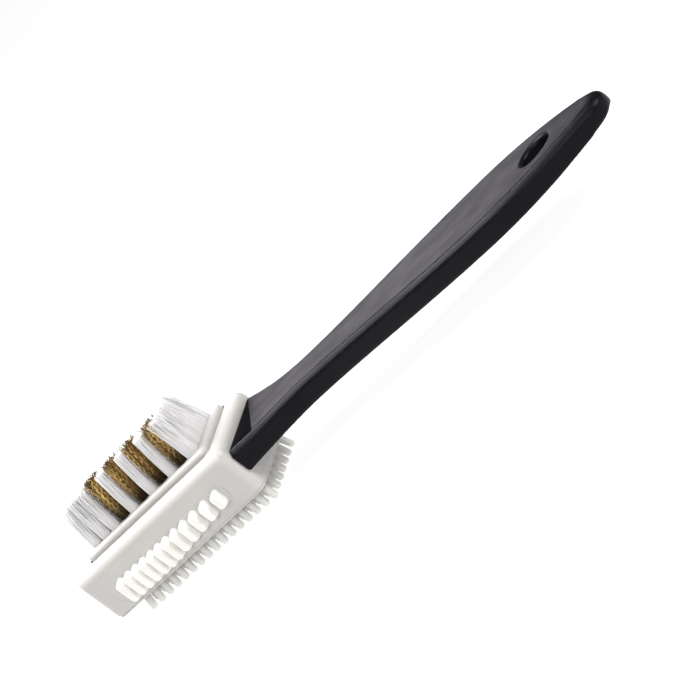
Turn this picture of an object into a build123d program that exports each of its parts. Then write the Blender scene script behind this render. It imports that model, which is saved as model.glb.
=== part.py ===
"""Four-sided cleaning brush: a white hollow head with nylon and brass tufts on top, a rubber
peg pad below and a toothed rubber strip on each side, on a black two-piece handle.

Frame, in millimetres: X runs from the head end (-X) to the handle tip (+X), the tufts point
up (+Z), and the peg tips stand on Z = 0.  The origin is under the middle of the brush.
"""
import math
import os

from build123d import *

# ---- driving dimensions ------------------------------------------------------------------
total_length = 255.5

# head shell
head_length = 80.5
head_width = 37.0
shell_wall = 2.5
shell_top = 26.5            # height of the rim round the bristle block
shoulder_radius = 3.6       # rounding along the top edges of the shell
end_corner_radius = 3.7     # rounding of the upright corners
bottom_edge_radius = 0.8
deck_thickness = 2.4        # shelf that carries the bristle block

# peg pad
peg_reach = 6.3             # from the pad's flange down to the floor
flange_thickness = 0.8
flange_inset = 0.5
plug_depth = 2.2            # how far the pad goes up into the shell
peg_pitch = 4.3
peg_root_radius = 1.3
peg_tip_radius = 1.0
peg_fan = 11.0              # lean of the outermost pegs, in degrees
peg_fan_power = 3           # how sharply the lean grows towards the edge
peg_front_margin = 12.0     # from the head end to the first column
peg_back_margin = 2.5       # least room between the last column and the handle end
peg_side_margin = 4.9       # least room between the outer rows and the side walls
peg_spare = 0.6             # pegs are made this much too long, then cut level

# bristle block and tufts
block_front = 9.1           # from the head end to the block
block_back = 6.4            # from the block to the handle end of the head
block_side = 4.9            # from the block to a side wall
front_lip = 3.45            # bare lip between the tuft field and the block's head end
back_lip = 3.25             # the same at its handle end
side_lip = 2.1              # the same along its sides
block_corner_radius = 2.6
block_top = 28.8
block_seat_depth = 4.4      # how far the block sinks below the shell's rim
groove_width = 0.8
groove_depth = 0.9
block_edge_radius = 1.6
slice_thickness = 1.2
row_count = 5
column_kinds = ("nylon", "nylon", "nylon", "brass", "nylon", "brass", "nylon", "brass",
                "nylon", "brass", "nylon")
tuft_radius = 1.25
tuft_hole_radius = 1.5
tuft_hole_depth = 3.4
root_length = 2.2           # folded end of a tuft inside its hole
tuft_length = 18.0          # free length of the near row
tuft_spare = 1.4            # strands are made this much too long, then trimmed
trim_drop = 3.0             # how much shorter the far row is cut
strands_round = 7           # strands in a tuft's ring, beside the one in its middle
nylon_strand = 0.50
brass_strand = 0.42
strand_turn = 45            # square strands stand with a corner outwards, in degrees
tuft_lean = 2.8             # how far the tips stand over towards the handle
end_tuft_lean = 1.2
tuft_spread = 0.35          # how far a tuft opens at its tips
anchor_length = 2.5
anchor_thickness = 0.4
anchor_height = 1.1
anchor_turn = 45            # how the staples lie across their holes, in degrees

# side strips
strip_plate = 0.5
strip_reach = 4.0           # from the shell's wall to the teeth's tips
strip_front = 8.0           # from the head end to the strip
strip_back_margin = 10.0    # from the strip to the handle end of the head
strip_top = 18.1
strip_low_front = 8.1       # height of the strip's lower edge near the head end
strip_low_back = 11.4       # the same at its handle end
strip_taper_start = 37.5    # where the lower edge starts to rise
strip_rim = 0.5             # plate left bare above and below the teeth
strip_end_radius = 2.4
strip_corner_cut = 3.8      # cut across the lower corner at the head end
strip_plug_front = 14.0     # from the head end to the strip's plug
strip_plug_back = 12.5      # from the plug to the strip's end at the handle
strip_plug_height = 5.0
tooth_front_margin = 6.0    # least room between the last tooth and the strip's head end
tooth_thickness = 3.1
tooth_draft = 7.0           # degrees
first_tooth_gap = 6.2       # pitch at the handle end
last_tooth_gap = 4.2        # pitch near the head end
narrowing_gaps = 5          # number of gaps over which the pitch narrows
tooth_edge_radius = 0.95

# handle
mouth_side = 2.3            # from the handle's mouth to the head's side wall
mouth_step = 4.0            # from the mouth's top up to the head's rim
neck_width = 19.6
neck_setback = 33.0         # from the mouth
belly_width = 34.0
belly_setback = 52.0        # from the handle's tip
grip_top = 21.2
grip_bottom = 12.8
flare_length = 21.0         # from the mouth to where its extra height has run out
taper_setback = 49.0        # where the underside starts to rise, from the tip
tip_bottom = 14.2
nose_radius = 6.6
nose_slope = 0.42           # how fast the outline narrows where the nose begins
mouth_slope = 0.27
mouth_dip = 0.12            # fall of the top just behind the mouth
tip_rise = 0.07
tip_top_radius = 3.4        # rounding of the tip, seen from the side
tip_under_radius = 2.6
neck_fullness = 0.8
belly_fullness = 1.0
handle_wall = 1.6
handle_bevel = 1.7          # bevel along the top's edges
under_edge_radius = 1.2
cover_thickness = 1.5
rib_count = 5
rib_thickness = 1.4
hang_hole_radius = 5.9
hang_hole_setback = 28.3    # from the handle's tip to the middle of the hole
hang_hole_wall = 1.8
hang_hole_edge = 0.8
tenon_length = 24.0
tenon_width = 19.0
tenon_height = 6.0
tenon_middle_height = 16.4
tenon_lead = 0.8            # chamfer round the tenon's end
pin_radius = 1.8
pin_setback = 13.0          # from the mouth to the pin

# clearances between pieces
fit_gap = 0.1               # slip fit round plugs, block, cover and roots
tenon_gap = 0.15
pin_gap = 0.05
nearby = 0.1                # how close to a level an edge counts as lying on it

# ---- derived places ----------------------------------------------------------------------
head_end = -total_length / 2
handle_tip = total_length / 2
shell_bottom = peg_reach + flange_thickness
head_middle = head_end + head_length / 2
head_face = head_end + head_length
wall_side = head_width / 2
block_length = head_length - block_front - block_back
block_width = head_width - 2 * block_side
block_middle = head_end + block_front + block_length / 2
block_bottom = shell_top - block_seat_depth
deck_bottom = block_bottom - deck_thickness
slice_bottom = block_top - slice_thickness
hole_bottom = slice_bottom - tuft_hole_depth
field_length = block_length - front_lip - back_lip
field_width = block_width - 2 * side_lip
column_pitch = field_length / len(column_kinds)
row_pitch = field_width / row_count
field_middle = block_middle + (front_lip - back_lip) / 2
columns = [field_middle + (i - (len(column_kinds) - 1) / 2) * column_pitch
           for i in range(len(column_kinds))]
rows = [(j - (row_count - 1) / 2) * row_pitch for j in range(row_count)]
strip_back = head_length - strip_back_margin
strip_plug_length = strip_back - strip_plug_front - strip_plug_back
mouth_width = head_width - 2 * mouth_side
mouth_top = shell_top - mouth_step
belly_x = handle_tip - belly_setback
taper_x = handle_tip - taper_setback
pin_x = head_face - pin_setback
neck_x = head_face + neck_setback
flare_x = head_face + flare_length
plug_top = shell_bottom + plug_depth
sleeve_bottom = tenon_middle_height - tenon_height / 2 - tenon_gap - shell_wall


def station(distance):
    """X of a place given by its distance from the head end."""
    return head_end + distance


def save(piece, name):
    piece.label = name
    export_step(piece, f"parts/{name}.step")


os.makedirs("parts", exist_ok=True)

# ---- side strip outline, shared by the strips and the windows that hold them --------------
strip_points = [
    (station(strip_front), strip_top),
    (station(strip_front), strip_low_front + strip_corner_cut),
    (station(strip_front + strip_corner_cut), strip_low_front),
    (station(strip_taper_start), strip_low_front),
    (station(strip_back), strip_low_back),
    (station(strip_back), strip_top),
]
strip_plug_z = (strip_top + strip_low_back) / 2
strip_plug_x = station(strip_plug_front) + strip_plug_length / 2


def strip_floor(x):
    """Height of the strip's lower edge at x."""
    along = (x - station(strip_taper_start)) / (strip_back - strip_taper_start)
    return strip_low_front + max(0.0, along) * (strip_low_back - strip_low_front)


# ---- head shell --------------------------------------------------------------------------
inner_length = head_length - 2 * shell_wall
inner_width = head_width - 2 * shell_wall

with BuildPart() as head_shell:
    with BuildSketch(Plane.XY.offset(shell_bottom)):
        with Locations((head_middle, 0)):
            RectangleRounded(head_length, head_width, end_corner_radius)
    extrude(amount=shell_top - shell_bottom)
    fillet(head_shell.faces().sort_by(Axis.Z)[-1].edges(), radius=shoulder_radius)
    fillet(head_shell.faces().sort_by(Axis.Z)[0].edges(), radius=bottom_edge_radius)
    # hollow below the deck, open at the bottom where the pad closes it
    with BuildSketch(Plane.XY.offset(shell_bottom)):
        with Locations((head_middle, 0)):
            RectangleRounded(inner_length, inner_width, end_corner_radius - shell_wall)
    extrude(amount=deck_bottom - shell_bottom, mode=Mode.SUBTRACT)
    # seat of the bristle block, with the groove that shows round it
    with BuildSketch(Plane.XY.offset(block_bottom)):
        with Locations((block_middle, 0)):
            RectangleRounded(block_length + 2 * fit_gap, block_width + 2 * fit_gap,
                             block_corner_radius + fit_gap)
    extrude(amount=block_seat_depth, mode=Mode.SUBTRACT)
    with BuildSketch(Plane.XY.offset(shell_top - groove_depth)):
        with Locations((block_middle, 0)):
            RectangleRounded(block_length + 2 * groove_width, block_width + 2 * groove_width,
                             block_corner_radius + groove_width)
    extrude(amount=groove_depth, mode=Mode.SUBTRACT)
    # sleeve inside the handle end that takes the handle's tenon
    with BuildSketch(Plane.XY.offset(sleeve_bottom)):
        with Locations((head_face - tenon_length / 2 - shell_wall / 2, 0)):
            Rectangle(tenon_length, tenon_width + 2 * (tenon_gap + shell_wall))
    extrude(amount=deck_bottom - sleeve_bottom)
    with BuildSketch(Plane.YZ.offset(head_face)):
        with Locations((0, tenon_middle_height)):
            Rectangle(tenon_width + 2 * tenon_gap, tenon_height + 2 * tenon_gap)
    extrude(amount=-(tenon_length + tenon_gap), mode=Mode.SUBTRACT)
    # hole for the pin that locks the tenon
    with BuildSketch(Plane.XY.offset(sleeve_bottom)):
        with Locations((pin_x, 0)):
            Circle(pin_radius + pin_gap)
    extrude(amount=deck_bottom - sleeve_bottom, mode=Mode.SUBTRACT)
    # windows in both side walls for the strips' plugs
    with BuildSketch(Plane.XZ):
        with Locations((strip_plug_x, strip_plug_z)):
            SlotOverall(strip_plug_length + 2 * fit_gap, strip_plug_height + 2 * fit_gap)
    extrude(amount=wall_side, both=True, mode=Mode.SUBTRACT)
save(head_shell.part, "head_shell")

# ---- bristle block -----------------------------------------------------------------------
with BuildPart() as bristle_block:
    with BuildSketch(Plane.XY.offset(block_bottom)):
        with Locations((block_middle, 0)):
            RectangleRounded(block_length, block_width, block_corner_radius)
    extrude(amount=block_top - block_bottom)
    fillet(bristle_block.faces().sort_by(Axis.Z)[-1].edges(), radius=block_edge_radius)
    with BuildSketch(Plane.XY.offset(slice_bottom)):
        with Locations((field_middle, 0)):
            Rectangle(field_length, field_width)
    extrude(amount=slice_thickness, mode=Mode.SUBTRACT)
    with BuildSketch(Plane.XY.offset(slice_bottom)):
        with Locations(*[(x, y) for x in columns for y in rows]):
            Circle(tuft_hole_radius)
    extrude(amount=-tuft_hole_depth, mode=Mode.SUBTRACT)
save(bristle_block.part, "bristle_block")

# ---- tufts: one node for each column -----------------------------------------------------
trim_slope = trim_drop / (rows[-1] - rows[0])
trim_plane = Plane(origin=(0, rows[0], block_top + tuft_length),
                   z_dir=(0, trim_slope, 1))


def tuft_column(x, strand, lean):
    """One column of tufts, fused to the slice of the block's face that they stand in."""
    reach = slice_thickness + tuft_length + tuft_spare
    with BuildPart() as column:
        with BuildSketch(Plane.XY.offset(slice_bottom)):
            with Locations((x, 0)):
                Rectangle(column_pitch, field_width)
        extrude(amount=slice_thickness)
        with BuildSketch(Plane.XY.offset(slice_bottom)):
            with Locations(*[(x, y) for y in rows]):
                Circle(tuft_hole_radius - fit_gap)
        extrude(amount=-root_length)
        strands = []
        for k in range(strands_round + 1):
            ring = 0.0 if k == strands_round else 1.0
            angle = 2 * math.pi * k / strands_round
            out_x, out_y = ring * math.cos(angle), ring * math.sin(angle)
            direction = Vector(lean + tuft_spread * out_x, tuft_spread * out_y, reach)
            with BuildSketch(Plane.XY.offset(slice_bottom + slice_thickness / 2),
                             mode=Mode.PRIVATE) as section:
                centre_x = x + out_x * (tuft_radius - strand)
                with Locations(*[(centre_x, y + out_y * (tuft_radius - strand)) for y in rows]):
                    Rectangle(strand, strand, rotation=strand_turn + math.degrees(angle))
            strands.append(extrude(section.sketch, amount=direction.length, dir=direction,
                                   mode=Mode.PRIVATE))
        add(strands)
        split(bisect_by=trim_plane, keep=Keep.BOTTOM)
    return column.part


counts = {"nylon": 0, "brass": 0}
for x, kind in zip(columns, column_kinds):
    counts[kind] += 1
    lean = end_tuft_lean if x == columns[-1] else tuft_lean
    strand = nylon_strand if kind == "nylon" else brass_strand
    save(tuft_column(x, strand, lean), f"{kind}_tufts_{counts[kind]}")
print("strands", len(columns) * len(rows) * (strands_round + 1))

# staple wires that hold the folded tufts in their holes
with BuildPart() as tuft_anchors:
    with BuildSketch(Plane.XY.offset(hole_bottom)):
        with Locations(*[(x, y) for x in columns for y in rows]):
            Rectangle(anchor_length, anchor_thickness, rotation=anchor_turn)
    extrude(amount=anchor_height)
save(tuft_anchors.part, "tuft_anchors")

# ---- peg pad -----------------------------------------------------------------------------
peg_columns = 1 + int((head_length - peg_front_margin - peg_back_margin) / peg_pitch)
peg_rows = 1 + int((head_width - 2 * peg_side_margin) / peg_pitch)
peg_middle = station(peg_front_margin) + (peg_columns - 1) * peg_pitch / 2
peg_half_x = (peg_columns - 1) * peg_pitch / 2
peg_half_y = (peg_rows - 1) * peg_pitch / 2


def fan(offset, half):
    """Lean of a peg that stands this far from the middle: only the outer ones lean much."""
    return peg_fan * math.copysign(abs(offset / half) ** peg_fan_power, offset)


peg_places = []
for i in range(peg_columns):
    for j in range(peg_rows):
        dx = i * peg_pitch - peg_half_x
        dy = j * peg_pitch - peg_half_y
        peg_places.append(Location((peg_middle + dx, dy, peg_reach),
                                   (-180 + fan(dy, peg_half_y), fan(dx, peg_half_x), 0)))

with BuildPart() as peg_pad:
    with BuildSketch(Plane.XY.offset(peg_reach)):
        with Locations((head_middle, 0)):
            RectangleRounded(head_length - 2 * flange_inset, head_width - 2 * flange_inset,
                             end_corner_radius - flange_inset)
    extrude(amount=flange_thickness)
    with BuildSketch(Plane.XY.offset(shell_bottom)):
        with Locations((head_middle, 0)):
            RectangleRounded(inner_length - 2 * fit_gap, inner_width - 2 * fit_gap,
                             end_corner_radius - shell_wall - fit_gap)
    extrude(amount=plug_depth)
    with Locations(*peg_places):
        Cone(peg_root_radius, peg_tip_radius, peg_reach + peg_spare,
             align=(Align.CENTER, Align.CENTER, Align.MIN))
    split(bisect_by=Plane.XY, keep=Keep.TOP)
save(peg_pad.part, "peg_pad")

# ---- side strips -------------------------------------------------------------------------
tooth_places = []
tooth_x = station(strip_back) - tooth_thickness
while tooth_x > station(strip_front) + tooth_front_margin:
    tooth_places.append(tooth_x)
    narrowed = min(1.0, (len(tooth_places) - 1) / narrowing_gaps)
    tooth_x -= first_tooth_gap + narrowed * (last_tooth_gap - first_tooth_gap)


def tooth_strip():
    """Strip on the near side: plate on the wall, plug through its window, row of teeth."""
    with BuildPart() as strip:
        with BuildSketch(Plane.XZ.offset(wall_side)) as outline:
            with BuildLine():
                Polyline(*strip_points, close=True)
            make_face()
            fillet(outline.vertices(), radius=strip_end_radius)
        extrude(amount=strip_plate)
        with BuildSketch(Plane.XZ.offset(wall_side)):
            with Locations((strip_plug_x, strip_plug_z)):
                SlotOverall(strip_plug_length, strip_plug_height)
        extrude(amount=-shell_wall)
        for x in tooth_places:
            low, high = strip_floor(x) + strip_rim, strip_top - strip_rim
            with BuildSketch(Plane.XZ.offset(wall_side + strip_plate)):
                with Locations((x, (low + high) / 2)):
                    SlotOverall(high - low, tooth_thickness, rotation=90)
            extrude(amount=strip_reach - strip_plate, taper=tooth_draft)
        tips = strip.faces().filter_by(Plane.XZ).group_by(Axis.Y)[0]
        fillet(tips.edges(), radius=tooth_edge_radius)
    return strip.part


near_tooth_strip = tooth_strip()
save(near_tooth_strip, "near_tooth_strip")
save(mirror(near_tooth_strip, about=Plane.XZ), "far_tooth_strip")

# ---- handle ------------------------------------------------------------------------------
body_front = head_face


def plan_face(inset):
    """The handle's outline from above, drawn in all round by the given inset."""
    turn = math.atan2(1, nose_slope)
    radius = nose_radius - inset
    nose_centre = handle_tip - nose_radius
    front = body_front + inset
    front_half = mouth_width / 2 - inset * (mouth_slope + math.hypot(1, mouth_slope))
    with BuildSketch(mode=Mode.PRIVATE) as plan:
        with BuildLine():
            side = Spline(
                (front, front_half),
                (neck_x, neck_width / 2 - inset),
                (belly_x, belly_width / 2 - inset),
                (nose_centre + radius * math.cos(turn), radius * math.sin(turn)),
                tangents=((1, -mouth_slope), (1, 0), (1, 0), (1, -nose_slope)),
                tangent_scalars=(1, neck_fullness, belly_fullness, 1),
            )
            RadiusArc(side @ 1, (nose_centre + radius, 0), radius)
            Polyline((nose_centre + radius, 0), (front, 0), side @ 0)
        make_face()
        mirror(about=Plane.XZ)
    return plan.sketch


def side_face(lowered_top, raised_bottom):
    """The handle from the side, with its top lowered and its underside raised as given."""
    high, low = grip_top - lowered_top, grip_bottom + raised_bottom
    with BuildSketch(Plane.XZ, mode=Mode.PRIVATE) as side:
        with BuildLine():
            top = Spline((body_front, mouth_top - lowered_top), (flare_x, high),
                         tangents=((1, -mouth_dip), (1, 0)))
            Line(top @ 1, (handle_tip, high))
            Line((handle_tip, high), (handle_tip, tip_bottom + raised_bottom))
            Spline((handle_tip, tip_bottom + raised_bottom), (taper_x, low),
                   tangents=((-1, -tip_rise), (-1, 0)))
            Line((taper_x, low), (body_front, low))
            Line((body_front, low), top @ 0)
        make_face()
    return side.sketch


def slab(face, amount):
    """A face from above or from the side, made solid, to be joined or cut with others."""
    return extrude(face, amount=amount, both=face.faces()[0].normal_at().Z == 0,
                   mode=Mode.PRIVATE)


def tip_waste(level, towards_middle, radius):
    """What a rounding takes off the handle's tip at a level, seen from the side."""
    with BuildSketch(Plane.XZ, mode=Mode.PRIVATE) as waste:
        with Locations((handle_tip, level)):
            Rectangle(2 * radius, 2 * radius)
        with Locations((handle_tip - radius, level + towards_middle * radius)):
            Circle(radius, mode=Mode.SUBTRACT)
    return slab(waste.sketch, wide)


hole_place = (handle_tip - hang_hole_setback, 0)
cover_seat = cover_thickness + fit_gap
tall = 2 * mouth_top
wide = belly_width
rib_span = (taper_x - flare_x) / (rib_count - 1)

with BuildPart() as ribs:
    with BuildSketch(Plane.XY):
        with Locations(*[(flare_x + i * rib_span, 0) for i in range(rib_count)]):
            Rectangle(rib_thickness, belly_width)
        with Locations(hole_place):
            Circle(hang_hole_radius + hang_hole_wall)
    extrude(amount=tall)
    add(slab(plan_face(handle_wall / 2), tall), mode=Mode.INTERSECT)
    add(slab(side_face(handle_wall / 2, cover_seat), wide), mode=Mode.INTERSECT)

with BuildPart() as hole_boss:
    with BuildSketch(Plane.XY):
        with Locations(hole_place):
            Circle(hang_hole_radius + hang_hole_wall)
    extrude(amount=tall)
    add(slab(side_face(handle_wall / 2, 0), wide), mode=Mode.INTERSECT)

with BuildPart() as hollow:
    add(slab(plan_face(handle_wall), tall))
    add(slab(side_face(handle_wall, -tall), wide), mode=Mode.INTERSECT)

with BuildPart() as handle_body:
    add(slab(plan_face(0), tall))
    add(slab(side_face(0, 0), wide), mode=Mode.INTERSECT)
    behind_mouth = handle_body.edges().filter_by(lambda e: e.center().X > body_front + nearby)
    chamfer(behind_mouth.filter_by(lambda e: e.center().Z > grip_top - nearby),
            length=handle_bevel)
    behind_mouth = handle_body.edges().filter_by(lambda e: e.center().X > body_front + nearby)
    fillet(behind_mouth.filter_by(lambda e: e.center().Z < tip_bottom + nearby
                                  and abs(e.center().Y) > nearby),
           radius=under_edge_radius)
    add(tip_waste(grip_top, -1, tip_top_radius), mode=Mode.SUBTRACT)
    add(tip_waste(tip_bottom - tip_rise * tip_under_radius, 1, tip_under_radius),
        mode=Mode.SUBTRACT)
    # hollow from below, with cross ribs and the wall of the hang hole
    add(hollow.part, mode=Mode.SUBTRACT)
    add(ribs.part)
    add(hole_boss.part)
    with BuildSketch(Plane.XY):
        with Locations(hole_place):
            Circle(hang_hole_radius)
    extrude(amount=tall, mode=Mode.SUBTRACT)
    top_face = handle_body.faces().filter_by(Plane.XY).sort_by(Axis.Z)[-1]
    chamfer(top_face.inner_wires()[0].edges(), length=hang_hole_edge)
    # tenon that goes into the head
    with BuildSketch(Plane.YZ.offset(body_front + handle_wall / 2)):
        with Locations((0, tenon_middle_height)):
            Rectangle(tenon_width, tenon_height)
    extrude(amount=-(tenon_length + handle_wall / 2))
    chamfer(handle_body.faces().sort_by(Axis.X)[0].edges(), length=tenon_lead)
    with BuildSketch(Plane.XY):
        with Locations((pin_x, 0)):
            Circle(pin_radius + pin_gap)
    extrude(amount=tall, mode=Mode.SUBTRACT)
save(handle_body.part, "handle_body")

with BuildPart() as handle_cover:
    add(slab(plan_face(handle_wall + fit_gap), tall))
    add(slab(side_face(0, 0), wide), mode=Mode.INTERSECT)
    add(slab(side_face(-tall, cover_thickness), wide), mode=Mode.SUBTRACT)
    with BuildSketch(Plane.XY):
        with Locations(hole_place):
            Circle(hang_hole_radius + hang_hole_wall + fit_gap)
    extrude(amount=tall, mode=Mode.SUBTRACT)
save(handle_cover.part, "handle_cover")

# ---- pin through the sleeve and the tenon ------------------------------------------------
with BuildPart() as tenon_pin:
    with BuildSketch(Plane.XY.offset(sleeve_bottom)):
        with Locations((pin_x, 0)):
            Circle(pin_radius)
    extrude(amount=deck_bottom - sleeve_bottom)
save(tenon_pin.part, "tenon_pin")
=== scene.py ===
"""Four-sided cleaning brush: the looks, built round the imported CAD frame.

Everything is in metres in the row frame: +X along the handle, +Z up along the tufts, and the
peg tips on Z = 0.  The tufts and the pegs are grown by Geometry Nodes.  The tooth strips and
the handle are softened copies of their CAD nodes, and the head keeps its CAD shape.
"""
import math

import bmesh
import bpy
from mathutils import Matrix, Vector


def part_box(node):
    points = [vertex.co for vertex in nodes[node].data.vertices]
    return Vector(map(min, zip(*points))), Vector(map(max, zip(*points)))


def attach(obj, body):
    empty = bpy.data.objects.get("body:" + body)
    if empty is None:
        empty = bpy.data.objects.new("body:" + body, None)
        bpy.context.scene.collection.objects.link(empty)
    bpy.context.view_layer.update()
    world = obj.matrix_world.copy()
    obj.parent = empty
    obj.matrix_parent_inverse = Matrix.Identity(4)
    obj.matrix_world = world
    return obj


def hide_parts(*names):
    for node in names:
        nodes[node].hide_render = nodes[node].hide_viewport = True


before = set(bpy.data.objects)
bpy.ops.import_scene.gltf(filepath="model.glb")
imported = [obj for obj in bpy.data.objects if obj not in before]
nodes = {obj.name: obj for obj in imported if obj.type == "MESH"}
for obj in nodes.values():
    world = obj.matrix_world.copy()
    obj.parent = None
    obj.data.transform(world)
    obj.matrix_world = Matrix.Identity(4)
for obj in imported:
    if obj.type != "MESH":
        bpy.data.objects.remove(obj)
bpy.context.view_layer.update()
MM = 0.001

# ---- camera, fitted to the head's edges and the handle's outline --------------------------
LOOK_AT = Vector((1.75, 0.0, 22.1)) * MM
CAMERA_DISTANCE = 1002.2 * MM
CAMERA_AZIMUTH = math.radians(33.94)
CAMERA_ELEVATION = math.radians(13.91)
CAMERA_ROLL = math.radians(-52.66)
FOCAL_PIXELS = 3197.0
LOOK_AT_PIXEL = (330.92, 337.64)     # where LOOK_AT shows in the photograph's frame
FRAME_PIXELS = 700.0
SENSOR_WIDTH = 36.0
NEAREST_SEEN = 0.05
FURTHEST_SEEN = 20.0


def make_camera():
    """Camera at the photograph's angle, turned so that LOOK_AT falls on its pixel."""
    back = Vector((math.cos(CAMERA_ELEVATION) * math.sin(CAMERA_AZIMUTH),
                   -math.cos(CAMERA_ELEVATION) * math.cos(CAMERA_AZIMUTH),
                   math.sin(CAMERA_ELEVATION)))
    level = (-back).cross(Vector((0, 0, 1))).normalized()
    upright = level.cross(-back)
    right = math.cos(CAMERA_ROLL) * level + math.sin(CAMERA_ROLL) * upright
    up = -math.sin(CAMERA_ROLL) * level + math.cos(CAMERA_ROLL) * upright
    # aim at the frame's middle instead of at LOOK_AT
    middle = FRAME_PIXELS / 2
    aim = (-back + right * (middle - LOOK_AT_PIXEL[0]) / FOCAL_PIXELS
           - up * (middle - LOOK_AT_PIXEL[1]) / FOCAL_PIXELS).normalized()
    right = (right - aim * right.dot(aim)).normalized()
    up = right.cross(aim)
    data = bpy.data.cameras.new("camera")
    data.sensor_width = SENSOR_WIDTH
    data.lens = FOCAL_PIXELS / FRAME_PIXELS * SENSOR_WIDTH
    data.clip_start = NEAREST_SEEN
    data.clip_end = FURTHEST_SEEN
    camera = bpy.data.objects.new("camera", data)
    turn = Matrix((right, up, -aim)).transposed()
    camera.matrix_world = Matrix.Translation(LOOK_AT + back * CAMERA_DISTANCE) @ turn.to_4x4()
    bpy.context.scene.collection.objects.link(camera)
    bpy.context.scene.camera = camera


make_camera()


# ---- node trees, written as sums and calls ------------------------------------------------
STUB = 0.01 * MM                 # length of the line that a strand or a peg is drawn out from


class Value:
    """Output of a node. A sum that it stands in, such as a + b * 2, adds Math nodes."""

    def __init__(self, tree, socket):
        self.tree = tree
        self.socket = socket

    def __add__(self, other):
        return self.tree.math("ADD", self, other)

    def __sub__(self, other):
        return self.tree.math("SUBTRACT", self, other)

    def __rsub__(self, other):
        return self.tree.math("SUBTRACT", other, self)

    def __mul__(self, other):
        return self.tree.math("MULTIPLY", self, other)

    def __truediv__(self, other):
        return self.tree.math("DIVIDE", self, other)

    def __pow__(self, other):
        return self.tree.math("POWER", self, other)

    def __abs__(self):
        return self.tree.math("ABSOLUTE", self)


class Tree:
    """A node tree that takes one node a call."""

    def __init__(self, tree):
        self.tree = tree

    def link(self, value, socket):
        self.tree.links.new(value.socket, socket)

    def add(self, kind, values=None, **settings):
        """One node. settings are its properties; values are its inputs, by name or number."""
        node = self.tree.nodes.new(kind)
        for name, setting in settings.items():
            setattr(node, name, setting)
        for key, value in (values or {}).items():
            if isinstance(value, Value):
                self.link(value, node.inputs[key])
            else:
                node.inputs[key].default_value = value
        return node

    def value(self, kind, values=None, output=0, **settings):
        """One output of a new node."""
        return Value(self, self.add(kind, values, **settings).outputs[output])

    def math(self, operation, a, b=0.0):
        return self.value("ShaderNodeMath", {0: a, 1: b}, operation=operation)

    def vector(self, x, y, z):
        return self.value("ShaderNodeCombineXYZ", {0: x, 1: y, 2: z})

    def parts(self, vector):
        """The x, y and z of a vector."""
        node = self.add("ShaderNodeSeparateXYZ", {0: vector})
        return [Value(self, output) for output in node.outputs]


class Surface(Tree):
    """Tree of a new material. constants are set on the Principled shader's own sockets."""

    def __init__(self, name, **constants):
        self.material = bpy.data.materials.new(name)
        self.material.use_nodes = True
        super().__init__(self.material.node_tree)
        self.shader = self.tree.nodes["Principled BSDF"]
        for socket, constant in constants.items():
            self.shader.inputs[socket.replace("_", " ")].default_value = constant

    def feed(self, socket, value):
        """Links a value into one of the shader's sockets."""
        self.link(value, self.shader.inputs[socket])

    def noise(self, scale, detail, stretch=(1, 1, 1)):
        """Noise on Object coordinates, scale in bumps a metre."""
        place = self.value("ShaderNodeTexCoord", output="Object")
        mapped = self.value("ShaderNodeMapping", {"Vector": place, "Scale": stretch})
        return self.value("ShaderNodeTexNoise",
                          {"Vector": mapped, "Scale": scale, "Detail": detail}, output="Fac")

    def kept(self, name):
        """Value that the mesh keeps under a name."""
        return self.value("ShaderNodeAttribute", output="Fac", attribute_name=name)

    def ramp(self, value, stops):
        """Colour ramp: stops are (place, grey or colour)."""
        node = self.add("ShaderNodeValToRGB", {0: value})
        elements = node.color_ramp.elements
        while len(elements) < len(stops):
            elements.new(1.0)
        for element, (place, colour) in zip(elements, stops):
            element.position = place
            element.color = (colour,) * 3 + (1,) if isinstance(colour, float) else (*colour, 1)
        return Value(self, node.outputs[0])

    def multiplied(self, colour, share):
        """Colour times a share of it."""
        return self.value("ShaderNodeMix", {0: 1.0, 6: colour, 7: share}, output=2,
                          data_type="RGBA", blend_type="MULTIPLY")

    def bump(self, height, distance, strength=1.0, under=None):
        """Normal that a height gives, on top of the bumps that lie under it."""
        values = {"Height": height, "Distance": distance, "Strength": strength}
        if under is not None:
            values["Normal"] = under
        return self.value("ShaderNodeBump", values)


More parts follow.
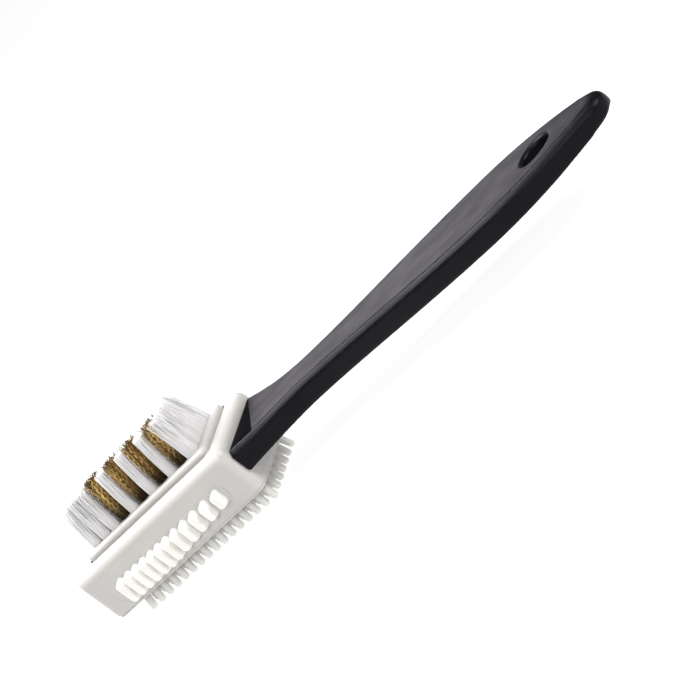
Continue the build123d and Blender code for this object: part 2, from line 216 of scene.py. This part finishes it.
class Growth(Tree):
    """New Geometry Nodes tree with named inputs; inputs are (name, kind)."""

    def __init__(self, name, inputs):
        group = bpy.data.node_groups.new(name, "GeometryNodeTree")
        group.interface.new_socket("Geometry", in_out="OUTPUT",
                                   socket_type="NodeSocketGeometry")
        for label, kind in inputs:
            group.interface.new_socket(label, in_out="INPUT", socket_type=kind)
        super().__init__(group)
        sockets = self.add("NodeGroupInput").outputs
        self.given = {label: Value(self, sockets[label]) for label, _ in inputs}

    def keep(self, geometry, name, value, kind="FLOAT"):
        """Geometry with a value stored on each of its points under a name."""
        return self.value("GeometryNodeStoreNamedAttribute",
                          {"Geometry": geometry, "Name": name, "Value": value},
                          data_type=kind, domain="POINT")

    def kept(self, name, kind="FLOAT"):
        """Value that was stored under a name."""
        return self.value("GeometryNodeInputNamedAttribute", {"Name": name}, data_type=kind)

    def stubs(self, points, count, way):
        """A very short line of count points on each point: way is 1 for up, -1 for down."""
        line = self.value("GeometryNodeCurvePrimitiveLine",
                          {"Start": (0, 0, 0), "End": (0, 0, way * STUB)})
        line = self.value("GeometryNodeResampleCurve", {"Curve": line, "Count": count})
        lines = self.value("GeometryNodeInstanceOnPoints", {"Points": points, "Instance": line})
        return self.value("GeometryNodeRealizeInstances", {0: lines})

    def tubes(self, curves, sides, radius, material, scale=1.0):
        """Closed tubes along curves; scale may change their radius on the way."""
        ring = self.value("GeometryNodeCurvePrimitiveCircle",
                          {"Resolution": sides, "Radius": radius}, mode="RADIUS")
        mesh = self.value("GeometryNodeCurveToMesh", {"Curve": curves, "Profile Curve": ring,
                                                      "Scale": scale, "Fill Caps": True})
        mesh = self.value("GeometryNodeSetShadeSmooth", {"Geometry": mesh})
        return self.made_of(mesh, material)

    def made_of(self, geometry, material):
        return self.value("GeometryNodeSetMaterial",
                          {"Geometry": geometry, "Material": material})

    def finish(self, *pieces):
        """Joins the pieces and hands them out as real geometry; returns the node group."""
        whole = self.add("GeometryNodeJoinGeometry")
        for piece in pieces:
            self.link(piece, whole.inputs[0])
        real = self.value("GeometryNodeRealizeInstances", {0: Value(self, whole.outputs[0])})
        self.add("NodeGroupOutput", {0: real})
        return self.tree


# ---- materials ----------------------------------------------------------------------------
MOUTH_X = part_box("head_shell")[1].x
WALL_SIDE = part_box("head_shell")[1].y
STRIP_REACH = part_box("far_tooth_strip")[1].y - WALL_SIDE
PEG_REACH = 6.3 * MM             # height of the pad's flange above the peg tips
FACET_FAR_Y = 16.0 * MM          # where the facet at the handle's mouth runs out to a point
FACET_WIDENING = 0.38            # how fast it widens from there towards the near side
FACET_SLOPE = 1.1                # how steeply it climbs to the mouth
FACING_UP = 0.9                  # the least Z of a normal that still counts as the top
HANG_SHARE = 0.42                # how far out a peg's tip counts in the rubber's painted light, where a tooth's tip is 1
EVEN_SCATTER = (1.0, 0.96, 0.93)     # under the surface, red light goes hardly further than blue


def handle_plastic():
    """Black moulded plastic with a fine spark-eroded texture."""
    surface = Surface("handle_plastic", Specular_IOR_Level=0.12,
                      Specular_Tint=(0.92, 0.89, 1.0, 1))
    black = [(0.3, (0.0026, 0.0024, 0.0032)), (0.7, (0.0040, 0.0037, 0.0050))]
    surface.feed("Base Color", surface.ramp(surface.noise(60.0, 3.0), black))
    wear = surface.noise(220.0, 4.0, (0.35, 1, 1))
    surface.feed("Roughness", surface.ramp(wear, [(0.35, 0.38), (0.75, 0.46)]))
    flow = surface.bump(surface.noise(35.0, 1.0, (0.4, 1, 1)), 0.08 * MM)
    # the facet's height is in metres already
    facet = surface.bump(mouth_facet(surface), 1.0, 1.0, flow)
    surface.feed("Normal", surface.bump(surface.noise(3500.0, 2.0), 0.01 * MM, 0.6, facet))
    return surface.material


def mouth_facet(surface):
    """Height of the facet that climbs to the mouth: a wedge, widest at the near side."""
    x, y, _ = surface.parts(surface.value("ShaderNodeTexCoord", output="Object"))
    _, _, facing = surface.parts(surface.value("ShaderNodeTexCoord", output="Normal"))
    width = (FACET_FAR_Y - y) * FACET_WIDENING
    inside = surface.math("MAXIMUM", width - (x - MOUTH_X), 0.0)
    return inside * FACET_SLOPE * surface.math("GREATER_THAN", facing, FACING_UP)


def head_plastic():
    """Warm white moulded plastic, semi-gloss, a little translucent."""
    surface = Surface("head_plastic", Specular_IOR_Level=0.45, Subsurface_Weight=0.12,
                      Subsurface_Scale=2.0 * MM, Subsurface_Radius=EVEN_SCATTER)
    white = [(0.3, (0.475, 0.455, 0.437)), (0.7, (0.505, 0.488, 0.470))]
    surface.feed("Base Color", surface.ramp(surface.noise(45.0, 3.0), white))
    surface.feed("Roughness", surface.ramp(surface.noise(260.0, 3.0), [(0.3, 0.30), (0.7, 0.40)]))
    flow = surface.bump(surface.noise(55.0, 1.0), 0.2 * MM)
    surface.feed("Normal", surface.bump(surface.noise(2400.0, 2.0), 0.006 * MM, 0.5, flow))
    return surface.material


def soft_rubber():
    """Milky rubber of the pegs and the teeth, with painted light: lighter where it stands out from
    the wall or hangs down, and painted shade near the wall and the pad's flange.
    """
    surface = Surface("soft_rubber", Roughness=0.55, Specular_IOR_Level=0.4,
                      Subsurface_Weight=0.3, Subsurface_Scale=1.5 * MM,
                      Subsurface_Radius=EVEN_SCATTER)
    white = [(0.3, (0.77, 0.755, 0.715)), (0.7, (0.83, 0.82, 0.785))]
    _, y, z = surface.parts(surface.value("ShaderNodeTexCoord", output="Object"))
    # painted light and shade: lighter out on the teeth and down at the peg tips, darker near the
    # wall and the pad's flange
    out = (abs(y) - WALL_SIDE) / STRIP_REACH
    hang = (1.0 - z / PEG_REACH) * HANG_SHARE
    painted_light = surface.ramp(surface.math("MAXIMUM", out, hang), [(0.05, 0.63), (0.45, 1.0)])
    colour = surface.ramp(surface.noise(120.0, 3.0), white)
    surface.feed("Base Color", surface.multiplied(colour, painted_light))
    surface.feed("Normal", surface.bump(surface.noise(900.0, 3.0), 0.03 * MM, 0.6))
    return surface.material


def nylon_filament():
    """Milky, faintly pink nylon with a soft gloss, with painted shade at its roots and a little
    darker at its tips.
    """
    surface = Surface("nylon_filament", Roughness=0.45, Specular_IOR_Level=0.4,
                      Subsurface_Weight=0.75, Subsurface_Scale=1.0 * MM,
                      Subsurface_Radius=EVEN_SCATTER)
    filament = surface.ramp(surface.kept("strand_tint"),
                            [(0.0, (0.92, 0.875, 0.87)), (0.5, (0.95, 0.915, 0.91)),
                             (1.0, (0.975, 0.955, 0.95))])
    # painted shade at the roots; the tips are a little darker too
    shade = surface.ramp(surface.kept("along"), [(0.0, 0.92), (0.3, 1.0), (0.85, 1.0), (1.0, 0.95)])
    surface.feed("Base Color", surface.multiplied(filament, shade))
    return surface.material


def brass_wire():
    """Golden brown brass, with painted shade towards the roots, and darker at the very tips."""
    surface = Surface("brass_wire", Roughness=0.38, Metallic=0.75)
    mottle = (surface.noise(1100.0, 3.0) - 0.5) * 1.6
    wire = surface.ramp(surface.kept("strand_tint") + mottle,
                        [(0.0, (0.05, 0.022, 0.008)), (0.35, (0.22, 0.11, 0.03)),
                         (0.7, (0.54, 0.335, 0.10)), (1.0, (0.95, 0.71, 0.31))])
    # painted shade, deep at the roots; the very tips are darker too
    shade = surface.ramp(surface.kept("along"), [(0.0, 0.04), (0.14, 0.16), (0.32, 0.55),
                                                 (0.6, 1.0), (0.86, 0.95), (1.0, 0.45)])
    surface.feed("Base Color", surface.multiplied(wire, shade))
    return surface.material


def steel():
    """Drawn steel of the pin and the staples."""
    surface = Surface("steel", Metallic=1.0, Roughness=0.3)
    grey = [(0.3, (0.45, 0.45, 0.46)), (0.7, (0.62, 0.62, 0.63))]
    surface.feed("Base Color", surface.ramp(surface.noise(800.0, 2.0, (1, 1, 0.05)), grey))
    return surface.material


def dress(mesh, material):
    """Gives a mesh one material and no other."""
    mesh.materials.clear()
    mesh.materials.append(material)


HANDLE = handle_plastic()
HEAD = head_plastic()
RUBBER = soft_rubber()
NYLON = nylon_filament()
BRASS = brass_wire()
STEEL = steel()

CAD_FINISHES = {"head_shell": HEAD, "bristle_block": HEAD, "tuft_anchors": STEEL,
                "tenon_pin": STEEL}
for name, material in CAD_FINISHES.items():
    dress(nodes[name].data, material)


# ---- how a finished mesh takes the place of its CAD node ----------------------------------
def finished_mesh(holder):
    """Plain mesh of an object with its modifiers applied; the object itself goes."""
    bpy.context.view_layer.update()
    done = holder.evaluated_get(bpy.context.evaluated_depsgraph_get())
    mesh = bpy.data.meshes.new_from_object(done)
    bpy.data.objects.remove(holder)
    return mesh


def grow(group, given):
    """Mesh that a Geometry Nodes tree gives with these inputs."""
    holder = bpy.data.objects.new("grower", bpy.data.meshes.new("grower"))
    bpy.context.scene.collection.objects.link(holder)
    modifier = holder.modifiers.new("grow", "NODES")
    modifier.node_group = group
    for item in group.interface.items_tree:
        if item.in_out == "INPUT":
            modifier[item.identifier] = given[item.name]
    return finished_mesh(holder)


def stand_for(node_name, suffix, mesh):
    """Puts a finished mesh in the place of its CAD node."""
    mesh.name = node_name + suffix
    piece = bpy.data.objects.new(mesh.name, mesh)
    bpy.context.scene.collection.objects.link(piece)
    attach(piece, "root")
    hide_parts(node_name)


# ---- tufts --------------------------------------------------------------------------------
ROW_COUNT = 5
ROW_PITCH = 4.6 * MM
BLOCK_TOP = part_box("bristle_block")[1].z
SLICE_THICKNESS = 1.2 * MM
TUFT_LENGTH = 18.0 * MM          # of the near row
TRIM_SLOPE = 3.0 / 18.4          # the trim falls by 3 mm over four even pitches to the far side
LEAN = 2.8 * MM                  # how far towards the handle a column's tips stand
HEAD_END_LEAN = 3.7 * MM         # the first columns lean in more than the rest
HEAD_END_EASING = 0.35 * MM      # by how much less with each column
LAST_LEAN = 0.0
LAST_FAR_LEAN = -3.6 * MM        # the last column's far tufts lean back over the field
LAST_FAR_TRIM = -1.4 * MM        # and are cut this much less than the slope asks
FAR_ROOT_IN = -1.6 * MM          # how much nearer the far row stands than an even pitch
FAR_LEAN_IN = -1.0 * MM          # how far the far row leans in towards the near side
OUTER_CUT = 3.0 * MM             # how much shorter the first column's outer filaments are
GOLDEN_ANGLE = math.radians(137.508)
ROW_TURN = 1.3                   # how far each row's spirals are turned on, in radians
SQUARENESS = 0.7                 # 0 leaves a tuft round, and 1 makes it square
SEED_STEP = 100                  # by how much the seeds of neighbouring columns differ
CRIMP_RISE = 6.0                 # the crimp is full after a sixth of the strand
HOOK_SHARPNESS = 10.0            # how close to its tip a strand bends away
FULL_TURN = 6.283
STRAND_SIDES = 5
DRAWS = {                        # a strand's random draws, and what each adds to the seed
    "astray x": 11, "astray y": 12, "ragged": 13, "tint": 14, "phase": 15, "hook x": 16,
    "hook y": 17}
TUFT_INPUTS = [                  # name, kind, and the value for nylon and for brass
    ("Strands", "NodeSocketInt", 190, 66),
    ("Bends", "NodeSocketInt", 8, 27),
    ("Tuft Radius", "NodeSocketFloat", 2.3 * MM, 2.3 * MM),
    ("Strand Radius", "NodeSocketFloat", 0.145 * MM, 0.14 * MM),
    ("Spread", "NodeSocketFloat", 0.10 * MM, 0.20 * MM),
    ("Stray", "NodeSocketFloat", 0.45 * MM, 0.60 * MM),
    ("Crimp", "NodeSocketFloat", 0.04 * MM, 0.27 * MM),
    ("Crimp Turns", "NodeSocketFloat", 9.0, 42.0),
    ("Flare", "NodeSocketFloat", 0.15 * MM, 1.1 * MM),
    ("Raggedness", "NodeSocketFloat", 0.9 * MM, 1.6 * MM),
    ("Trim", "NodeSocketFloat", 0.8 * MM, 0.0),
    ("Far Trim", "NodeSocketFloat", 0.0, 6.0 * MM),
]
PLACE_INPUTS = [("Column X", "NodeSocketFloat"), ("Slice Length", "NodeSocketFloat"),
                ("Lean", "NodeSocketFloat"), ("Far Lean", "NodeSocketFloat"),
                ("Outer Cut", "NodeSocketFloat"), ("Seed", "NodeSocketInt")]


def tuft_tree(strand_material):
    """Geometry nodes for one column: the slice of the block's face and five tufts on it."""
    inputs = [(name, kind) for name, kind, *_ in TUFT_INPUTS] + PLACE_INPUTS
    tree = Growth("tuft_column", inputs)
    given = tree.given
    strand = tree.value("GeometryNodeInputIndex")

    def between(low, high, draw):
        """Random number for each strand, fixed by the seed."""
        return tree.value("FunctionNodeRandomValue",
                          {2: low, 3: high, "Seed": given["Seed"] + DRAWS[draw], "ID": strand},
                          output=1, data_type="FLOAT")

    # one point for each strand, on a sunflower spiral in each tuft
    row = tree.math("FLOOR", (strand + 0.5) / given["Strands"])
    number = strand - row * given["Strands"]
    farness = row / (ROW_COUNT - 1.0)
    row_y = (row - (ROW_COUNT - 1) / 2) * ROW_PITCH + farness * FAR_ROOT_IN
    angle = number * GOLDEN_ANGLE + row * ROW_TURN
    across = tree.math("COSINE", angle)
    over = tree.math("SINE", angle)
    # drawn out towards a square, so that neighbouring tufts close up
    longest = tree.math("MAXIMUM", abs(across), abs(over))
    share = tree.math("SQRT", (number + 0.5) / given["Strands"]) / longest ** SQUARENESS
    out_x = across * share
    out_y = over * share
    root_x = given["Column X"] + out_x * given["Tuft Radius"]
    root_y = row_y + out_y * given["Tuft Radius"]

    # the tip: leaned, spread, a little astray, and cut to the trim
    astray_x = between(-1.0, 1.0, "astray x") * given["Stray"]
    astray_y = between(-1.0, 1.0, "astray y") * given["Stray"]
    tip_x = given["Lean"] + out_x * given["Spread"] + astray_x + farness * given["Far Lean"]
    tip_y = out_y * given["Spread"] + astray_y + farness * FAR_LEAN_IN
    near_y = -(ROW_COUNT - 1) / 2 * ROW_PITCH
    drop = (row_y - near_y) * TRIM_SLOPE
    ragged = between(0.0, 1.0, "ragged") ** 2.0 * given["Raggedness"]
    outer = ((1.0 - out_x) * 0.5) ** 2.0
    cut = ragged + outer * given["Outer Cut"] + farness * given["Far Trim"] + given["Trim"]
    height = TUFT_LENGTH - drop - cut

    points = tree.value("GeometryNodePoints",
                        {"Count": given["Strands"] * float(ROW_COUNT),
                         "Position": tree.vector(root_x, root_y, BLOCK_TOP)})
    points = tree.keep(points, "tip_offset", tree.vector(tip_x, tip_y, height), "FLOAT_VECTOR")
    points = tree.keep(points, "strand_tint", between(0.0, 1.0, "tint"))
    points = tree.keep(points, "phase", between(0.0, FULL_TURN, "phase"))
    hook = tree.vector(between(-1.0, 1.0, "hook x"), between(-1.0, 1.0, "hook y"), 0.0)
    points = tree.keep(points, "hook", hook, "FLOAT_VECTOR")
    strands = tree.stubs(points, given["Bends"], 1)

    # bend every strand out to its tip, with the wire's crimp across it
    along = tree.value("GeometryNodeSplineParameter", output="Factor")
    offset = tree.parts(tree.kept("tip_offset", "FLOAT_VECTOR"))
    hook = tree.parts(tree.kept("hook", "FLOAT_VECTOR"))
    bend = (along + along * along) * 0.5
    wave = tree.kept("phase") + along * given["Crimp Turns"]
    crimp = given["Crimp"] * tree.math("MINIMUM", along * CRIMP_RISE, 1.0)
    flare = given["Flare"] * along ** HOOK_SHARPNESS

    def sideways(axis, turn):
        """Shift across the strand: its lean, its crimp and the hook at its tip."""
        return offset[axis] * bend + crimp * tree.math(turn, wave) + hook[axis] * flare

    shift = tree.vector(sideways(0, "COSINE"), sideways(1, "SINE"), offset[2] * along)
    strands = tree.value("GeometryNodeSetPosition", {"Geometry": strands, "Offset": shift})
    strands = tree.keep(strands, "along", along)
    tubes = tree.tubes(strands, STRAND_SIDES, given["Strand Radius"], strand_material)

    # the slice of the block's face that the tufts stand in
    size = tree.vector(given["Slice Length"], ROW_COUNT * ROW_PITCH, SLICE_THICKNESS)
    middle = tree.vector(given["Column X"], 0.0, BLOCK_TOP - SLICE_THICKNESS / 2)
    slab = tree.value("GeometryNodeMeshCube", {"Size": size})
    slab = tree.value("GeometryNodeTransform", {"Geometry": slab, "Translation": middle})
    return tree.finish(tubes, tree.made_of(slab, HEAD))


column_names = sorted((name for name in nodes if "_tufts_" in name),
                      key=lambda name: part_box(name)[0].x)
groups = {"nylon": tuft_tree(NYLON), "brass": tuft_tree(BRASS)}
column_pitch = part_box(column_names[1])[0].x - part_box(column_names[0])[0].x
for index, name in enumerate(column_names):
    kind = name.split("_")[0]
    given = {label: brass if kind == "brass" else nylon
             for label, _, nylon, brass in TUFT_INPUTS}
    given |= {"Column X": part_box(name)[0].x + column_pitch / 2, "Slice Length": column_pitch,
              "Lean": max(LEAN, HEAD_END_LEAN - index * HEAD_END_EASING), "Far Lean": 0.0,
              "Outer Cut": OUTER_CUT if index == 0 else 0.0, "Seed": SEED_STEP * (index + 1)}
    if name == column_names[-1]:
        given |= {"Lean": LAST_LEAN, "Far Lean": LAST_FAR_LEAN, "Far Trim": LAST_FAR_TRIM}
    stand_for(name, "_strands", grow(groups[kind], given))


# ---- copies of CAD nodes for the soft strips and the eased handle -------------------------
MERGE_WITHIN = 0.002 * MM
EASING = 0.5                     # how far each smoothing step moves a point


def merged_copy(node_name):
    """Copy of a CAD node's mesh with its loose triangles joined up."""
    mesh = nodes[node_name].data.copy()
    joined = bmesh.new()
    joined.from_mesh(mesh)
    bmesh.ops.remove_doubles(joined, verts=joined.verts, dist=MERGE_WITHIN)
    joined.to_mesh(mesh)
    joined.free()
    return mesh


def skinned(mesh, voxel, swell, smoothing):
    """An even skin over a closed mesh, swollen and then smoothed."""
    holder = bpy.data.objects.new("skinned", mesh)
    bpy.context.scene.collection.objects.link(holder)
    skin = holder.modifiers.new("skin", "REMESH")
    skin.mode = "VOXEL"
    skin.voxel_size = voxel
    grown = holder.modifiers.new("swell", "DISPLACE")
    grown.mid_level = 0.0
    grown.strength = swell
    smooth = holder.modifiers.new("smooth", "SMOOTH")
    smooth.factor = EASING
    smooth.iterations = smoothing
    return finished_mesh(holder)


# ---- handle: its edges are eased, and its tip is rounded off ------------------------------
HANDLE_VOXEL = 0.55 * MM
HANDLE_SMOOTHING = 1
TIP_REACH = 9.0 * MM             # how far from its end the tip's rounding begins
TIP_FADE = 0.5                   # share of that reach over which the rounding fades in
TIP_SMOOTHING = 22
COVER_DRAWN_IN = 1.0 * MM        # how far the cover's end stands back from the rounded tip


def eased_handle():
    """The handle's body with its edges eased and its tip rounded, at its full length."""
    mesh = skinned(merged_copy("handle_body"), HANDLE_VOXEL, 0.0, HANDLE_SMOOTHING)
    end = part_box("handle_body")[1].x
    start = end - TIP_REACH
    soft = bmesh.new()
    soft.from_mesh(mesh)
    tip = [vertex for vertex in soft.verts if vertex.co.x > start]
    for step in range(TIP_SMOOTHING):
        # each step starts further out than the one before
        edge = start + TIP_FADE * TIP_REACH * step / TIP_SMOOTHING
        bmesh.ops.smooth_vert(soft, verts=[vertex for vertex in tip if vertex.co.x > edge],
                              factor=EASING, use_axis_x=True, use_axis_y=True,
                              use_axis_z=True)
    # drawn out again to its full length
    reached = max(vertex.co.x for vertex in tip)
    for vertex in tip:
        share = max(vertex.co.x - start, 0.0) / (reached - start)
        vertex.co.x += (end - reached) * share
    soft.to_mesh(mesh)
    soft.free()
    mesh.shade_smooth()
    dress(mesh, HANDLE)
    return mesh


def shortened_cover():
    """The handle's cover, with its end drawn in so that it stays inside the rounded tip."""
    mesh = merged_copy("handle_cover")
    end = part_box("handle_cover")[1].x
    for vertex in mesh.vertices:
        share = max(vertex.co.x - end + TIP_REACH, 0.0) / TIP_REACH
        vertex.co.x -= COVER_DRAWN_IN * share
    dress(mesh, HANDLE)
    return mesh


stand_for("handle_body", "_eased", eased_handle())
stand_for("handle_cover", "_eased", shortened_cover())


# ---- tooth strips: rounded lobes on a plate nearly flush with the wall --------------------
STRIP_VOXEL = 0.26 * MM
STRIP_SWELL = 0.34 * MM
STRIP_SMOOTHING = 5
PLATE_SHOWS = 0.12 * MM          # how far the plate stands out round the teeth
PLATE_SUNK = 0.85 * MM           # what lies lower than this over the wall is plate


def soft_strip(node_name):
    """A tooth strip with swollen, rounded teeth, and its plate sunk almost to the wall."""
    mesh = skinned(merged_copy(node_name), STRIP_VOXEL, STRIP_SWELL, STRIP_SMOOTHING)
    # the teeth keep their full reach
    stretch = STRIP_REACH / (STRIP_REACH - PLATE_SUNK)
    for vertex in mesh.vertices:
        out = abs(vertex.co.y) - WALL_SIDE
        if out > 0:
            out = max(PLATE_SHOWS, min((out - PLATE_SUNK) * stretch, STRIP_REACH))
            vertex.co.y = math.copysign(WALL_SIDE + out, vertex.co.y)
    mesh.shade_smooth()
    dress(mesh, RUBBER)
    return mesh


for strip in ("near_tooth_strip", "far_tooth_strip"):
    stand_for(strip, "_rubber", soft_strip(strip))


# ---- pegs: domed fingers on the pad's flange ----------------------------------------------
PEG_INPUTS = [                   # name, kind, value
    ("Columns", "NodeSocketInt", 16),
    ("Rows", "NodeSocketInt", 7),
    ("Pitch", "NodeSocketFloat", 4.3 * MM),
    ("Reach", "NodeSocketFloat", PEG_REACH),
    ("Root Radius", "NodeSocketFloat", 1.36 * MM),
    ("Tip Radius", "NodeSocketFloat", 1.14 * MM),
    ("Fan", "NodeSocketFloat", math.tan(math.radians(11.0))),
    ("Middle X", "NodeSocketFloat", -83.5 * MM),
]
PEG_SIDES = 14
PEG_RINGS = 15
RING_CROWDING = 1.7              # 1 spreads a peg's rings evenly, and more crowds its tip
DOME_SHARE = 0.16                # share of a peg's length that its dome takes
LEAST_DOME = 0.04                # share of its radius that is left at the very tip
FILLET_SHARPNESS = 14.0          # how close to the flange a peg's root widens
FILLET_RADIUS = 0.5 * MM


def peg_tree():
    """Geometry nodes for the field of pegs."""
    tree = Growth("peg_field", [(name, kind) for name, kind, _ in PEG_INPUTS])
    given = tree.given

    def centred(number, count):
        """Place along a row of pegs, -1 at its start and 1 at its end, and in metres."""
        half = (count - 1.0) * 0.5
        steps = number - half
        return steps / half, steps * given["Pitch"]

    def leaned(share):
        """How far a peg's tip stands outwards: only the outer pegs lean much."""
        return share * share * share * given["Fan"] * given["Reach"]

    index = tree.value("GeometryNodeInputIndex")
    column = tree.math("FLOOR", (index + 0.5) / given["Rows"])
    row = index - column * given["Rows"]
    share_x, place_x = centred(column, given["Columns"])
    share_y, place_y = centred(row, given["Rows"])
    roots = tree.vector(place_x + given["Middle X"], place_y, given["Reach"])
    points = tree.value("GeometryNodePoints",
                        {"Count": given["Columns"] * given["Rows"], "Position": roots})
    points = tree.keep(points, "tip_offset", tree.vector(leaned(share_x), leaned(share_y), 0.0),
                       "FLOAT_VECTOR")
    pegs = tree.stubs(points, PEG_RINGS, -1)

    # rings crowd towards the tip, where the peg is domed
    factor = tree.value("GeometryNodeSplineParameter", output="Factor")
    left = (1.0 - factor) ** RING_CROWDING
    along = 1.0 - left
    offset = tree.parts(tree.kept("tip_offset", "FLOAT_VECTOR"))
    shift = tree.vector(offset[0] * along, offset[1] * along, given["Reach"] * along * -1.0)
    cone = given["Root Radius"] - (given["Root Radius"] - given["Tip Radius"]) * along
    dome = tree.math("MAXIMUM", 1.0 - left / DOME_SHARE, 0.0)
    dome = tree.math("SQRT", 1.0 - dome * dome)
    fillet = left ** FILLET_SHARPNESS * FILLET_RADIUS
    radius = cone * tree.math("MAXIMUM", dome, LEAST_DOME) + fillet
    pegs = tree.keep(pegs, "peg_radius", radius)
    pegs = tree.value("GeometryNodeSetPosition", {"Geometry": pegs, "Offset": shift})
    return tree.finish(tree.tubes(pegs, PEG_SIDES, 1.0, RUBBER, tree.kept("peg_radius")))


FLANGE_CORNER = 3.2 * MM
CORNER_STEPS = 6
CORNERS = [                      # side in X and in Y, and the angle that its arc starts at
    (1, 1, 0), (-1, 1, 90), (-1, -1, 180), (1, -1, 270)]
FLANGE_RINGS = [                 # how far in from the edge and how far up, in millimetres
    (0.35, 0.0), (0.1, 0.1), (0.0, 0.3), (0.0, 0.8), (2.1, 0.8), (2.1, 3.0)]


def pad_flange(pad):
    """Adds the plate over the pegs, with its edges rolled over, and its plug in the shell."""
    low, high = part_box("peg_pad")
    outline = []
    for side_x, side_y, start in CORNERS:
        centre_x = (high.x if side_x > 0 else low.x) - side_x * FLANGE_CORNER
        centre_y = (high.y if side_y > 0 else low.y) - side_y * FLANGE_CORNER
        for step in range(CORNER_STEPS + 1):
            angle = math.radians(start + 90 * step / CORNER_STEPS)
            outline.append((centre_x + FLANGE_CORNER * math.cos(angle),
                            centre_y + FLANGE_CORNER * math.sin(angle)))
    middle_x = (low.x + high.x) / 2
    rings = []
    for drawn_in, up in FLANGE_RINGS:
        rings.append([pad.verts.new((x - math.copysign(drawn_in * MM, x - middle_x),
                                     y - math.copysign(drawn_in * MM, y),
                                     PEG_REACH + up * MM)) for x, y in outline])
    for lower, upper in zip(rings, rings[1:]):
        for i, vertex in enumerate(lower):
            j = (i + 1) % len(lower)
            pad.faces.new((vertex, lower[j], upper[j], upper[i]))
    pad.faces.new(list(reversed(rings[0])))
    pad.faces.new(rings[-1])


peg_mesh = grow(peg_tree(), {name: value for name, _, value in PEG_INPUTS})
pad = bmesh.new()
pad.from_mesh(peg_mesh)
pad_flange(pad)
# no peg reaches below the level that the brush stands on
for vertex in pad.verts:
    vertex.co.z = max(vertex.co.z, 0.0)
pad.to_mesh(peg_mesh)
pad.free()
stand_for("peg_pad", "_rubber", peg_mesh)


# ---- floor and light ----------------------------------------------------------------------
FLOOR_HALF = 6.0                 # metres
FLOOR_GREY = (0.15, 0.15, 0.15, 1)
FLOOR_GLOW = 0.93                # keeps the floor's white even
SKY_COLOUR = (0.9, 0.92, 0.95, 1)
SKY_STRENGTH = 0.12
WHITE = (1, 1, 1)
LAMPS = [                        # name, place, target, width and height, watts, colour
    ("overhead", (-0.38, 0.0, 0.88), (0, 0, 0), (0.5, 0.6), 19.0, WHITE),
    ("side", (0.95, 0.05, 0.62), (-0.05, 0, 0.03), (0.5, 0.4), 10.0, WHITE),
    ("back", (-0.62, 0.98, 0.36), (0, 0, 0.02), (0.4, 0.3), 1.1, (0.95, 0.90, 1.0)),
    ("front", (0.25, -1.1, 0.62), (-0.05, 0, 0.03), (0.6, 0.4), 7.5, WHITE),
]


def make_floor():
    """Plain white floor that glows a little, so that it shows no edge."""
    mesh = bpy.data.meshes.new("floor")
    corners = [(-FLOOR_HALF, -FLOOR_HALF, 0), (FLOOR_HALF, -FLOOR_HALF, 0),
               (FLOOR_HALF, FLOOR_HALF, 0), (-FLOOR_HALF, FLOOR_HALF, 0)]
    mesh.from_pydata(corners, [], [(0, 1, 2, 3)])
    floor = bpy.data.objects.new("floor", mesh)
    bpy.context.scene.collection.objects.link(floor)
    surface = Surface("floor_white", Base_Color=FLOOR_GREY, Roughness=0.9,
                      Specular_IOR_Level=0.0, Emission_Color=(*WHITE, 1),
                      Emission_Strength=FLOOR_GLOW)
    mesh.materials.append(surface.material)


def soft_light(name, place, target, size, watts, colour):
    """Softbox at place, facing target."""
    data = bpy.data.lights.new(name, "AREA")
    data.shape = "RECTANGLE"
    data.size, data.size_y = size
    data.energy = watts
    data.color = colour
    lamp = bpy.data.objects.new(name, data)
    lamp.location = place
    lamp.rotation_mode = "QUATERNION"
    lamp.rotation_quaternion = (Vector(target) - Vector(place)).to_track_quat("-Z", "Y")
    bpy.context.scene.collection.objects.link(lamp)


make_floor()
for lamp in LAMPS:
    soft_light(*lamp)
world = bpy.data.worlds.new("studio")
world.use_nodes = True
background = world.node_tree.nodes["Background"]
background.inputs["Color"].default_value = SKY_COLOUR
background.inputs["Strength"].default_value = SKY_STRENGTH
bpy.context.scene.world = world
bpy.context.scene.view_settings.view_transform = "Standard"
